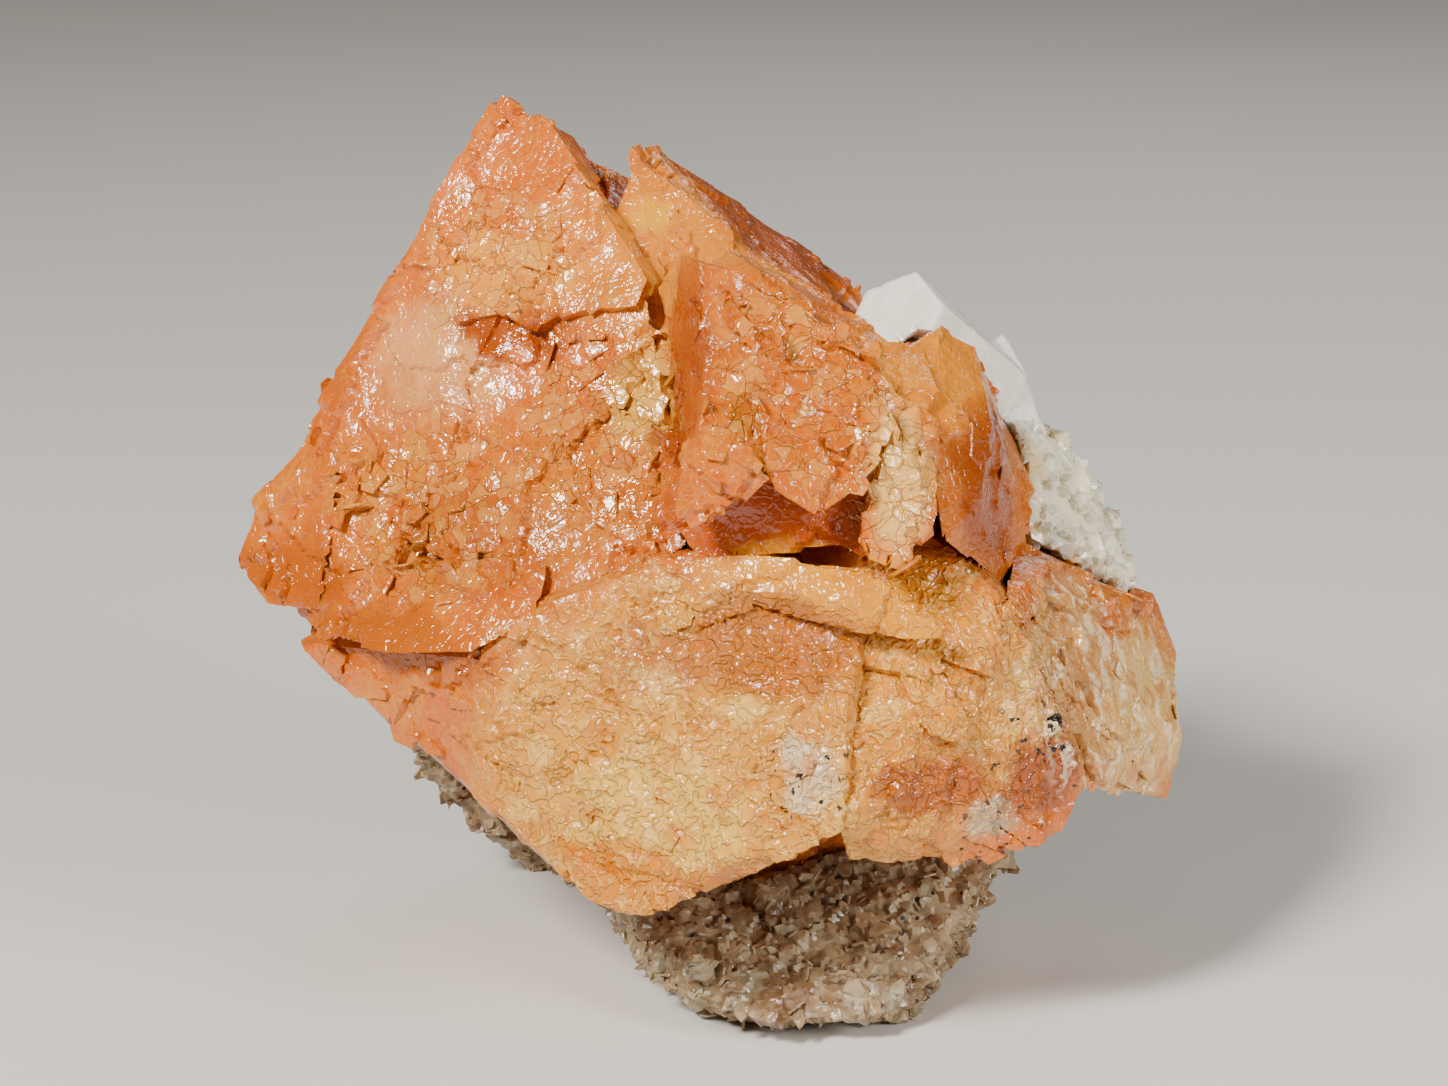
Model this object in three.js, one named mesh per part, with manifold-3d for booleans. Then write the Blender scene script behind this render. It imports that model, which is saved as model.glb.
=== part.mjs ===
// A cluster of orange scheelite crystals on muscovite, with a milky beryl prism and a crust of small
// pale crystals on its right side. Millimetres. X runs to the right, Y away from the front, and Z up
// from the flat underside of the muscovite. The origin is on that flat, near its middle.
import * as THREE from "three";
import { ConvexGeometry } from "three/addons/geometries/ConvexGeometry.js";
import { mergeVertices } from "three/addons/utils/BufferGeometryUtils.js";
import Module from "manifold-3d";

const wasm = await Module();
wasm.setup();

// The tips and turning points that the whole cluster hangs on.
const mainTip = [-21.5, 4, 73];
const mainLeft = [-41.5, 0, 38.5];
const mainKneeLeft = [-23.5, -15, 33];
const mainKneeMiddle = [-5.5, -19, 41];
const mainRight = [18.5, -20, 38];
const secondTip = [-8.5, 7, 69.5];
const thirdTip = [-5, -19.5, 65];
const rightTip = [14.5, -8, 57.5];
const lowerTopLeft = [-23, -19.5, 33];
const lowerTop = [-5, -21.5, 42.5];
const lowerTopRight = [19.5, -19.5, 37.5];
const lowerCorner = [6, -28, 21.5];
const lowerLeftCorner = [-13, -24.5, 14.5];

const mineralGap = 0.45; // between two minerals that grew against each other
const plateRoot = 1.5; // how far a growth plate reaches into the face under it
const plateLean = 0.05; // radians that a growth plate leans at most
const capThickness = 4; // the raised growth layer under the main tip, with its root
const paleThickness = 3; // the smooth pale layer to the left of the middle
const middleThickness = 4; // the crazed layer beside the third crystal

const berylStart = [11, 1, 55.5]; // the middle of its flat end
const berylAxis = [1, 1, -1]; // from that end to the right, back and down
const berylRadius = 4.6; // from the axis to the prism's edges
const berylLength = 13;

const crustCrystals = 26;
const crystalRoot = 1.2; // how deep a small crystal sits in the crust's bed
const crustRadius = [0.9, 2]; // of one small pale crystal
const micaBooks = 74;
const micaRadius = [1.6, 3.6];
const micaThickness = [0.6, 1.1];
const micaSunk = 0.35; // of a book's radius

// Numbers that look random but are the same on every run.
function seededRandom(seed) {
  let state = seed;
  return (low = 0, high = 1) => {
    state = (state + 0x6d2b79f5) | 0;
    let t = Math.imul(state ^ (state >>> 15), 1 | state);
    t = (t + Math.imul(t ^ (t >>> 7), 61 | t)) ^ t;
    return low + (((t ^ (t >>> 14)) >>> 0) / 4294967296) * (high - low);
  };
}

const vector = (p) => new THREE.Vector3(...p);

function solidOf(geometry) {
  const bare = geometry.index ? geometry.toNonIndexed() : geometry.clone();
  for (const name of ["normal", "uv"]) bare.deleteAttribute(name);
  const merged = mergeVertices(bare, 1e-4);
  return new wasm.Manifold(
    new wasm.Mesh({
      numProp: 3,
      vertProperties: merged.attributes.position.array,
      triVerts: new Uint32Array(merged.index.array),
    }),
  );
}

function geometryOf(solid) {
  const { vertProperties, triVerts } = solid.getMesh();
  const geometry = new THREE.BufferGeometry();
  geometry.setAttribute("position", new THREE.BufferAttribute(new Float32Array(vertProperties), 3));
  geometry.setIndex(new THREE.BufferAttribute(new Uint32Array(triVerts), 1));
  return geometry;
}

const joined = (solids) => wasm.Manifold.union(solids);

// The flat-faced block that is the tightest one around its corners.
const blockAround = (corners) => new ConvexGeometry(corners);

// The same block made larger by the gap along each axis.
function largerBlock(corners) {
  const ways = [[1, 0, 0], [-1, 0, 0], [0, 1, 0], [0, -1, 0], [0, 0, 1], [0, 0, -1]].map(vector);
  return blockAround(corners.flatMap((p) => ways.map((way) => p.clone().addScaledVector(way, mineralGap))));
}

function cornersOf(geometry) {
  const positions = geometry.attributes.position;
  const corner = (_, i) => new THREE.Vector3().fromBufferAttribute(positions, i);
  return Array.from({ length: positions.count }, corner);
}

// A mineral's own solids, and the room that they need in the minerals around them.
class Mineral {
  solids = [];
  room = [];

  // Adds a convex geometry.
  grow(geometry) {
    this.solids.push(solidOf(geometry));
    this.room.push(solidOf(largerBlock(cornersOf(geometry))));
  }

  block(corners) {
    this.grow(blockAround(corners.map(vector)));
  }

  // Growth plates over one face of a block, none reaching past the block's own edges.
  terraces(corners, face, count, radius, lift, seed) {
    const random = seededRandom(seed);
    const plates = Array.from({ length: count }, () =>
      plateAt(face, pointOn(face.corners, random), random(...radius), random(...lift), random),
    );
    const raised = corners.map((p) => vector(p).addScaledVector(face.normal, lift[1]));
    this.solids.push(joined(plates).intersect(solidOf(blockAround(raised))));
    this.room.push(solidOf(largerBlock(raised)));
  }

  // A layer that lies on another block, away from every other mineral.
  layer(face, rim, thickness) {
    this.solids.push(solidOf(layerOn(face, rim, thickness)));
  }

  // What is left of the mineral where others already grow and below what cuts it off, in one piece.
  between(others, cuts = []) {
    const taken = [...others.flatMap((other) => other.room), ...cuts];
    return largestOf(joined(this.solids).subtract(joined(taken)));
  }
}

// Only the largest piece of a cut solid, since a chip that the cut leaves would fall off.
function largestOf(solid) {
  const pieces = solid.decompose();
  return pieces.reduce((best, piece) => (piece.volume() > best.volume() ? piece : best));
}

// A flat face through three points, seen from outside with its corners anticlockwise.
function faceThrough(a, b, c) {
  const corners = [a, b, c].map(vector);
  const edges = [corners[1].clone().sub(corners[0]), corners[2].clone().sub(corners[0])];
  const normal = edges[0].clone().cross(edges[1]).normalize();
  const across = new THREE.Vector3(-normal.y, normal.x, 0).normalize();
  const upward = normal.clone().cross(across);
  const flat = (v) => new THREE.Vector2(v.dot(across), v.dot(upward));
  const grain = edges.map((edge) => flat(edge).normalize());
  const frame = new THREE.Matrix4().makeBasis(across, upward, normal);
  return { corners, normal, flat, grain, frame };
}

const outlineOf = (points) =>
  new THREE.Shape(THREE.ShapeUtils.isClockWise(points) ? points.reverse() : points);

// A growth plate's outline: a slanted square along the face's two grain directions, one corner lost.
function plateOutline(face, radius, random) {
  const [u, v] = face.grain.map((g) => g.clone().multiplyScalar(radius * random(0.6, 1.2)));
  const at = (s, t) => new THREE.Vector2().addScaledVector(u, s).addScaledVector(v, t);
  const lost = random(0.2, 0.9);
  return outlineOf([
    at(-1, -1),
    at(random(0.7, 1.1), -1),
    at(1, 1 - lost),
    at(1 - lost, 1),
    at(-1, random(0.7, 1.1)),
  ]);
}

// A plate that stands out of a face by its lift and leans a little.
function plateAt(face, point, radius, lift, random) {
  const settings = { depth: lift + plateRoot, bevelEnabled: false };
  const plate = new THREE.ExtrudeGeometry(plateOutline(face, radius, random), settings);
  const lean = new THREE.Euler(random(-plateLean, plateLean), random(-plateLean, plateLean), 0);
  plate.translate(0, 0, -plateRoot).applyMatrix4(new THREE.Matrix4().makeRotationFromEuler(lean));
  return solidOf(plate.applyMatrix4(face.frame).translate(point.x, point.y, point.z));
}

// A point somewhere on the triangle between three corners.
function pointOn([a, b, c], random) {
  let [s, t] = [random(), random()];
  if (s + t > 1) [s, t] = [1 - s, 1 - t];
  return a.clone().multiplyScalar(1 - s - t).addScaledVector(b, s).addScaledVector(c, t);
}

// A layer whose top is the given face and whose rim follows an outline given in X and Z.
function layerOn(face, rim, thickness) {
  const [origin] = face.corners;
  const onFace = ([x, z]) => {
    const rise = face.normal.x * (x - origin.x) + face.normal.z * (z - origin.z);
    return face.flat(new THREE.Vector3(x, origin.y - rise / face.normal.y, z).sub(origin));
  };
  const settings = { depth: thickness, bevelEnabled: false };
  const slab = new THREE.ExtrudeGeometry(outlineOf(rim.map(onFace)), settings);
  slab.translate(0, 0, -thickness).applyMatrix4(face.frame);
  return slab.translate(origin.x, origin.y, origin.z);
}

// A six-sided prism from the middle of its near end, along a direction.
function hexPrism(start, direction, radius, length, taper, twist) {
  const prism = new THREE.CylinderGeometry(radius * taper, radius, length, 6);
  prism.rotateY(twist).translate(0, length / 2, 0);
  const turn = new THREE.Quaternion().setFromUnitVectors(new THREE.Vector3(0, 1, 0), direction);
  return prism.applyQuaternion(turn).translate(start.x, start.y, start.z);
}

// A direction near a surface's own, further off it for a wider spread.
function leaningFrom(normal, spread, random) {
  const side = new THREE.Vector3(random(-1, 1), random(-1, 1), random(-1, 1));
  return normal.clone().addScaledVector(side, spread).normalize();
}

// Points over a solid's outside, even by area, where the surface faces a wanted way.
function pointsOver(solid, count, random, wanted) {
  const { vertProperties, triVerts } = solid.getMesh();
  const corner = (i) => new THREE.Vector3().fromArray(vertProperties, 3 * triVerts[i]);
  const faces = [];
  for (let i = 0; i < triVerts.length; i += 3) {
    const triangle = new THREE.Triangle(corner(i), corner(i + 1), corner(i + 2));
    const normal = triangle.getNormal(new THREE.Vector3());
    if (wanted(normal)) faces.push({ triangle, normal, area: triangle.getArea() });
  }
  const total = faces.reduce((sum, face) => sum + face.area, 0);
  return Array.from({ length: count }, () => {
    let left = random(0, total);
    const { triangle, normal } = faces.find((face) => (left -= face.area) <= 0) ?? faces[0];
    return { point: pointOn([triangle.a, triangle.b, triangle.c], random), normal };
  });
}

// The main crystal: a leaning pyramid whose lower half is sunk in the matrix.
function mainCrystal(scheelite) {
  const leftEdge = [[-24, 2, 70], [-27, 1, 65.5], [-30, 0, 59], mainLeft, [-38.5, -1, 31.5]];
  const rightEdge = [[-20.5, 6, 72.5], [-11.5, 10, 66], [-8.5, -3, 61], [9, 22, 52.5]];
  const back = [[-37.5, 24, 31], [-18, 27, 34], [-3.5, 28, 41], [-17.5, 14, 8], [17.5, 20, 12]];
  const underside = [[-13.5, -6, 12], [1.5, -4, 8], [23.5, -2, 16], [26, 12, 29]];
  const knees = [mainKneeLeft, mainKneeMiddle, mainRight];
  const corners = [mainTip, ...leftEdge, ...rightEdge, ...knees, ...back, ...underside];
  const left = faceThrough(mainTip, mainLeft, mainKneeLeft);
  const middle = faceThrough(mainTip, mainKneeLeft, mainKneeMiddle);
  const right = faceThrough(mainTip, mainKneeMiddle, mainRight);
  const behind = faceThrough([9, 22, 52.5], [-18, 27, 34], mainTip);
  const behindLeft = faceThrough(mainTip, [-18, 27, 34], [-37.5, 24, 31]);
  scheelite.block(corners);
  scheelite.terraces(corners, left, 15, [1.8, 4.2], [0.3, 1.2], 3);
  scheelite.terraces(corners, middle, 14, [1.8, 4.2], [0.3, 1.3], 5);
  scheelite.terraces(corners, right, 6, [1.5, 4], [0.3, 1.3], 8);
  scheelite.terraces(corners, behind, 8, [2.5, 6], [0.4, 1.2], 15);
  scheelite.terraces(corners, behindLeft, 8, [2.5, 6], [0.4, 1.2], 16);
}

// The raised growth layer under the main tip, which ends in a broken edge.
function capLayer(scheelite) {
  const top = faceThrough([-21.5, 3, 72.5], [-27.5, -2.5, 58.5], [-13, -9.5, 58.5]);
  const leftSide = [[-21, 74], [-23, 71], [-24.5, 68.5], [-25.5, 64], [-27, 59.5]];
  const brokenEdge = [[-26, 58], [-24.5, 57], [-23, 57.5], [-21, 58], [-19.5, 57.5], [-18, 57], [-16.5, 58]];
  const rightSide = [[-13.5, 59], [-10, 59.5], [-9, 61.5], [-13, 67], [-17, 72.5], [-20, 73.5]];
  scheelite.layer(top, [...leftSide, ...brokenEdge, ...rightSide], capThickness);
}

// The smooth pale layer below it, with straight sides like a leaning square.
function paleLayer(scheelite) {
  const top = faceThrough([-29, 0.5, 57.5], [-32, 0, 53.5], [-18.5, -8.5, 52]);
  const lowerLeft = [[-29, 58.5], [-31.5, 54.5], [-29, 51], [-27, 48], [-25.5, 47.5], [-23, 45]];
  const upperRight = [[-21, 47], [-19, 51], [-23.5, 55], [-26.5, 57]];
  scheelite.layer(top, [...lowerLeft, ...upperRight], paleThickness);
}

// The crazed layer between them and the third crystal.
function middleLayer(scheelite) {
  const top = faceThrough([-16, -7, 58.5], [-16, -11, 50.5], [-8, -13, 54]);
  const lowerEdge = [[-16.5, 58.5], [-17.5, 54], [-16, 51.5], [-13, 50], [-10, 47], [-7.5, 48]];
  const rightEdge = [[-8, 55], [-9, 59.5], [-9.5, 60.5]];
  scheelite.layer(top, [...lowerEdge, ...rightEdge], middleThickness);
}

// The etched swelling low on the main crystal's front, and the waxy lobe that hangs over its foot.
function lowSwellings(scheelite) {
  const swelling = [
    [-23.5, -9.5, 46], [-18, -8, 53.5], [-13, -11.5, 52.5], [-7.5, -16, 50], [-6, -20.5, 42.5],
    [-16, -19, 37.5], [-25.5, -13.5, 39.5], [-29, -9.5, 40], [-16.5, -3, 43.5],
  ];
  const lobeTop = [[-37.5, -5, 33.5], [-34, -9, 37], [-25.5, -14.5, 39.5], [-17, -18, 40.5]];
  const lobeLip = [[-18, -20.5, 36.5], [-23, -20.5, 34], [-28.5, -18, 33], [-35, -12, 32.5], [-37, -8, 32.5]];
  const lobeRoot = [[-36.5, 6, 30.5], [-23.5, 4, 31]];
  scheelite.block(swelling);
  scheelite.block([...lobeTop, ...lobeLip, ...lobeRoot]);
}

// The two slabs that step out at the left corner.
function leftSlabs(scheelite) {
  const upper = [
    [-31, 0.5, 56], [-32.5, 0, 54.5], [-36.5, -1.5, 46], [-35.5, -4, 44.5], [-37.5, -7, 34],
    [-33, -9.5, 34], [-29, -7.5, 43], [-28, -4, 50.5], [-29, -1, 54.5], [-35.5, 4, 34.5], [-33, 6, 48],
  ];
  const outer = [
    [-37.5, -1, 46], [-35, -3, 45.5], [-34.5, -5.5, 44], [-36, -8.5, 34], [-40.5, -5, 33.5],
    [-42.5, -3, 35], [-43, -2, 36.5], [-41.5, -1, 41], [-37.5, 6, 42], [-40, 6, 32.5],
  ];
  const upperFace = faceThrough([-32.5, 0, 54.5], [-37.5, -7, 34], [-29.5, -4, 50.5]);
  const outerFace = faceThrough([-37.5, -1, 46], [-42.5, -3, 35], [-37.5, -8.5, 34]);
  scheelite.block(upper);
  scheelite.block(outer);
  scheelite.terraces(upper, upperFace, 6, [1.2, 2.6], [0.3, 1.2], 21);
  scheelite.terraces(outer, outerFace, 5, [1, 2.2], [0.3, 1], 22);
}

// The second crystal, behind and to the right of the first.
function secondCrystal(scheelite) {
  const front = [[-10.5, 2, 70], secondTip, [-12, -1, 65], [-8, -6, 59], [7, -4, 56]];
  const rightSide = [[-6, 6, 67], [-1.5, 12, 64], [3.5, 16, 59.5], [9, 18, 54]];
  const back = [[-5, 24, 50], [-10, 14, 63.5], [4, 26, 41.5]];
  const corners = [...front, ...rightSide, ...back];
  const frontFace = faceThrough([-10.5, 2, 70], [-8, -6, 59], [7, -4, 56]);
  const backFace = faceThrough([9, 18, 54], [-5, 24, 50], [-10, 14, 63.5]);
  scheelite.block(corners);
  scheelite.terraces(corners, frontFace, 6, [1.5, 3], [0.2, 0.6], 31);
  scheelite.terraces(corners, backFace, 5, [1.5, 3], [0.3, 0.8], 32);
}

// The third crystal, in front: a narrow left face, a broad front, and a slab behind its top edge.
function thirdCrystal(scheelite) {
  const slab = [
    [-3, -8, 64], [-4.5, -10, 63], [11.5, -8, 55.5], [9.5, -16, 55], [0, -16, 63.5], [3, -6, 61],
    [-5, -14, 52.5], [9.5, -10, 50],
  ];
  const leftFace = [[-6.5, -15, 65], thirdTip, [-8.5, -10, 61], [-7.5, -12, 52], [-6, -17, 47]];
  const front = [[-4.5, -22, 59], [-4, -24, 52.5], [-1.5, -19, 64], [6.5, -19, 59], [11, -19.5, 54]];
  const lowerEdge = [[9.5, -22.5, 49], [3, -24, 48.5], [-5, -25, 49]];
  const root = [[-3.5, 0, 58], [8, 0, 49.5]];
  const corners = [...leftFace, ...front, ...lowerEdge, ...root];
  const lowFront = faceThrough(thirdTip, [-4, -24, 52.5], [9.5, -22.5, 49]);
  const highFront = faceThrough(thirdTip, [9.5, -22.5, 49], [6.5, -19, 59]);
  scheelite.block(slab);
  scheelite.block(corners);
  scheelite.terraces(corners, lowFront, 6, [1.5, 3], [0.2, 0.7], 41);
  scheelite.terraces(corners, highFront, 6, [1.5, 3], [0.2, 0.7], 43);
}

// The rounded lobe and the small toe that hang from the third crystal's front, and the crystals that
// line the recess under them.
function lobeAndToe(scheelite) {
  const lobe = [
    [-0.5, -23.5, 56], [3, -22.5, 57.5], [7.5, -21.5, 57], [10, -23, 52.5], [8, -25, 48.5],
    [4.5, -26, 46.5], [1, -26.5, 48.5], [-1, -25.5, 52], [3, -15, 46.5], [4.5, -15, 54.5],
  ];
  const toe = [
    [-6, -24, 51.5], [-4.5, -26, 53], [-1.5, -27, 52], [0.5, -27, 49.5], [-1.5, -26.5, 47.5],
    [-5.5, -26.5, 45.5], [-6.5, -25.5, 46.5], [-3.5, -15, 47],
  ];
  const recess = [
    [-9, -17, 51], [-7.5, -20.5, 45], [-5, -21.5, 42], [3, -22.5, 42.5], [9.5, -21.5, 42.5], [10.5, -20, 48],
    [4, -21.5, 50], [-3, -21, 50], [-2, -10, 44], [6, -10, 48],
  ];
  scheelite.block(recess);
  scheelite.block(lobe);
  scheelite.block(toe);
}

// The yellow crystal on the right, and between it and the third one a bright crest and broken shards.
function rightCrystal(scheelite) {
  const corners = [
    [11.5, -10, 56], rightTip, [17.5, -6, 55.5], [18.5, -13, 50.5], [22, -4, 42.5], [21, -7, 38.5],
    [19, -14, 38], [17.5, -17, 45.5], [14, -22, 43.5], [13, -20, 51], [11, -17, 54], [21, 6, 44.5],
    [11.5, 4, 53], [20.5, 4, 36.5],
  ];
  const crest = [
    [9.5, -18.5, 54.5], [12.5, -19, 53.5], [14, -19.5, 51.5], [13.5, -23, 45], [10.5, -24.5, 42],
    [7.5, -24, 43], [9, -23.5, 49.5], [11, -22.5, 51.5], [11, -10, 46],
  ];
  const shards = [
    [7, -16, 57.5], [10.5, -13, 57.5], [13, -11.5, 56.5], [14, -16, 54], [12, -20.5, 51], [8, -21.5, 52],
    [9, -4, 51], [14, -4, 50], [8, -12, 45], [14, -12, 45],
  ];
  const front = faceThrough([11.5, -10, 56], [13, -20, 51], [18.5, -13, 50.5]);
  scheelite.block(corners);
  scheelite.block(crest);
  scheelite.block(shards);
  scheelite.terraces(corners, front, 4, [1.2, 2.4], [0.2, 0.7], 51);
}

// The broad cream crystal below, in two parts that meet along a crease, and the waxy rim above it.
function lowerCrystal(scheelite) {
  const leftSide = [[-21, -20.5, 20.5], [-30, -13, 26], [-37, -7, 30.5], [-37.5, 0, 30]];
  const lowEdge = [lowerCorner, [-2, -27.5, 19], [-8.5, -25.5, 14], lowerLeftCorner];
  const topEdge = [lowerTopLeft, [-16, -21, 38], lowerTop, [8.5, -22, 41], [6.5, -26, 31.5]];
  const corners = [...topEdge, ...lowEdge, ...leftSide, [-13.5, 5, 5.5], [-37, 10, 26]];
  const rightCorners = [
    [6, -20, 40.5], lowerTopRight, [26, -18, 22], [24, -19, 18.5], [19, -21, 17.5], [15, -22.5, 17],
    [7, -25, 18.5], [6, -27.5, 21.5], [6.5, -25.5, 28], [13, -25, 29.5], [25, 5, 13], [9.5, 0, 13],
  ];
  const rim = [
    [-5.5, -22.5, 42], [-1.5, -23.5, 42.5], [3, -24.5, 42.5], [8, -25, 41.5], [14.5, -25.5, 36.5],
    [10.5, -26, 36.5], [6.5, -26, 39.5], [1.5, -25, 40], [-5, -23, 39.5], [3, -15, 38],
  ];
  const left = faceThrough(lowerTopLeft, lowerLeftCorner, lowerCorner);
  const middle = faceThrough(lowerTopLeft, lowerCorner, lowerTop);
  const foot = faceThrough([-37, -7, 30.5], [-21, -20.5, 20.5], lowerTopLeft);
  const upperRight = faceThrough([7, -20, 40.5], [13, -25, 29.5], lowerTopRight);
  const lowerRight = faceThrough([6.5, -25.5, 28], [19, -21, 17.5], [26, -18, 22]);
  scheelite.block(corners);
  scheelite.block(rightCorners);
  scheelite.block(rim);
  scheelite.terraces(corners, left, 13, [1.5, 4], [0.3, 1], 61);
  scheelite.terraces(corners, middle, 10, [1.5, 4], [0.3, 1], 62);
  scheelite.terraces(corners, foot, 6, [1.5, 3], [0.3, 0.8], 63);
  scheelite.terraces(rightCorners, upperRight, 7, [1.5, 3.5], [0.3, 1], 64);
  scheelite.terraces(rightCorners, lowerRight, 7, [1.5, 3], [0.3, 1], 65);
}

// The tan flank on the right, with the blocky lumps at its end.
function flank(scheelite) {
  const side = [
    [19.5, -19, 37.5], [23.5, -8, 38], [30.5, -2, 33], [30.5, -3, 29], [33.5, -3, 22.5], [29, -8, 18],
    [26, -16, 21], [21, -6, 39], [26.5, 14, 19], [26, 12, 32.5],
  ];
  const end = [
    [31.5, 6, 32], [33.5, 4, 32], [34, 3, 28], [35, 4, 26.5], [34.5, 2, 23], [36, 2, 20],
    [34.5, 2, 14.5], [29, -5, 17], [30.5, -5, 25], [30, -3, 29.5], [30.5, 20, 23], [34.5, 12, 12.5],
    [34, 12, 29],
  ];
  const low = faceThrough([19.5, -19, 37.5], [26, -16, 21], [33.5, -3, 22.5]);
  const high = faceThrough([19.5, -19, 37.5], [33.5, -3, 22.5], [30.5, -2, 33]);
  const lumps = faceThrough([30.5, -5, 25], [29, -5, 17], [36, 2, 20]);
  scheelite.block(side);
  scheelite.block(end);
  scheelite.terraces(side, low, 6, [1.5, 3], [0.3, 1], 71);
  scheelite.terraces(side, high, 6, [1.5, 3], [0.3, 1], 72);
  scheelite.terraces(end, lumps, 4, [1, 2], [0.3, 1], 73);
}

// A beryl prism with a broken lower end.
function berylPrism(beryl) {
  const axis = vector(berylAxis).normalize();
  const brokenEnd = [
    [20.5, 10, 52.5], [22, 9, 50], [23.5, 7, 45.5], [22, 8, 41.5], [16.5, 2, 49], [19.5, 4, 42.5],
    [21, 18, 43.5], [16.5, 14, 48],
  ];
  beryl.grow(hexPrism(vector(berylStart), axis, berylRadius, berylLength, 0.96, 0.25));
  beryl.block(brokenEnd);
}

// The pale crust under the beryl: one bed with short crystals growing out of it.
function paleCrust(crust) {
  const bed = [
    [20, 4, 47], [22.5, 2, 46], [25.5, 6, 44], [27.5, 4, 39.5], [29, 2, 36], [31.5, 6, 33.5],
    [31.5, 6, 30.5], [23.5, -6, 36], [21.5, -3, 41.5], [22.5, 10, 33], [27, 22, 37], [30.5, 22, 26],
    [21.5, 20, 26.5],
  ];
  crust.block(bed);
  const random = seededRandom(81);
  const facesOut = (normal) => normal.x > 0 || normal.y < -0.3 || normal.z > 0.3;
  for (const { point, normal } of pointsOver(crust.solids[0], crustCrystals, random, facesOut)) {
    const radius = random(...crustRadius);
    const direction = leaningFrom(normal, 0.8, random);
    const length = crystalRoot + radius * random(0.5, 1.1);
    const start = point.addScaledVector(normal, -crystalRoot);
    crust.grow(hexPrism(start, direction, radius, length, random(0.45, 0.9), random(0, 1)));
  }
}

// The muscovite: the foot that it stands on, the mass behind, and small books of mica all over.
function muscoviteMatrix(muscovite) {
  muscovite.block([
    [-9, -2.5, 0], [-5, -8.5, 0], [1.5, -14, 0], [9.5, -12, 0], [12.5, -10, 0], [15, -4.5, 0],
    [15.5, 16, 0], [4, 26, 0], [-16, 26, 0], [-10, -10, 7], [-8.5, -13, 4], [-5, -17, 3.5],
    [1.5, -20, 2.5], [9.5, -18, 2.5], [12, -16, 2.5], [14, -10, 2], [17, -5, 7], [20, -5, 12],
    [-14.5, 0, 14], [24.5, 10, 15], [18.5, 24, 10],
  ]);
  muscovite.block([
    [-30.5, 14, 15.5], [-29.5, 17, 11], [-24, 20, 5], [-20.5, 23, 0], [-16, 27, 0], [-14, 10, 20],
    [-24, 32, 13.5], [-5, 34, 13], [-5, 28, 0], [-28, 26, 19], [-20, 30, 24],
  ]);
  muscovite.block([
    [-17.5, 24, 27], [-8, 29, 33], [3, 30, 30], [13, 27, 34], [23.5, 20, 26.5], [-14.5, 33, 4],
    [18, 30, 8.5], [-5, 28, 0], [8, 26, 0], [4, 34, 15], [-10, 35, 18], [-5, 5, 22], [12, 5, 22],
  ]);
  const mass = joined(muscovite.solids);
  const random = seededRandom(91);
  for (const { point, normal } of pointsOver(mass, micaBooks, random, (out) => out.z > -0.9)) {
    const radius = random(...micaRadius);
    const start = point.addScaledVector(normal, -micaSunk * radius);
    const direction = leaningFrom(normal, 1.6, random);
    muscovite.grow(hexPrism(start, direction, radius, random(...micaThickness), 0.97, random(0, 1)));
  }
}

// The minerals in the order in which they grew, each leaving room for the ones before it.
const scheelite = new Mineral();
mainCrystal(scheelite);
capLayer(scheelite);
paleLayer(scheelite);
middleLayer(scheelite);
lowSwellings(scheelite);
leftSlabs(scheelite);
secondCrystal(scheelite);
thirdCrystal(scheelite);
lobeAndToe(scheelite);
rightCrystal(scheelite);
lowerCrystal(scheelite);
flank(scheelite);

const beryl = new Mineral();
berylPrism(beryl);

const crust = new Mineral();
paleCrust(crust);

const muscovite = new Mineral();
muscoviteMatrix(muscovite);

const belowTheFlat = solidOf(new THREE.BoxGeometry(200, 200, 50).translate(0, 0, -25));

function nodeOf(name, solid, color, roughness) {
  const material = new THREE.MeshStandardMaterial({ color, roughness, metalness: 0 });
  const mesh = new THREE.Mesh(geometryOf(solid), material);
  mesh.name = name;
  return mesh;
}

const specimen = new THREE.Group();
specimen.add(nodeOf("scheelite_crystals", scheelite.between([]), 0xe8803a, 0.3));
specimen.add(nodeOf("beryl_prism", beryl.between([scheelite]), 0xdedcd2, 0.3));
specimen.add(nodeOf("pale_crystal_crust", crust.between([scheelite, beryl]), 0xd9d2b4, 0.25));
const matrix = muscovite.between([scheelite, beryl, crust], [belowTheFlat]);
specimen.add(nodeOf("muscovite_matrix", matrix, 0x8f8068, 0.55));

export default specimen;
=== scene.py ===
# %% [markdown]
# # Scheelite on muscovite
# The specimen is a cluster of orange scheelite crystals on a foot of pale mica. The solids of the frame
# give every crystal its place and its big faces. The lesson adds what a rigid solid can't hold: crazed and
# etched faces, hundreds of thin growth plates, colour zones, a milky beryl and the sparkle of the mica.

import math
import random

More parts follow.
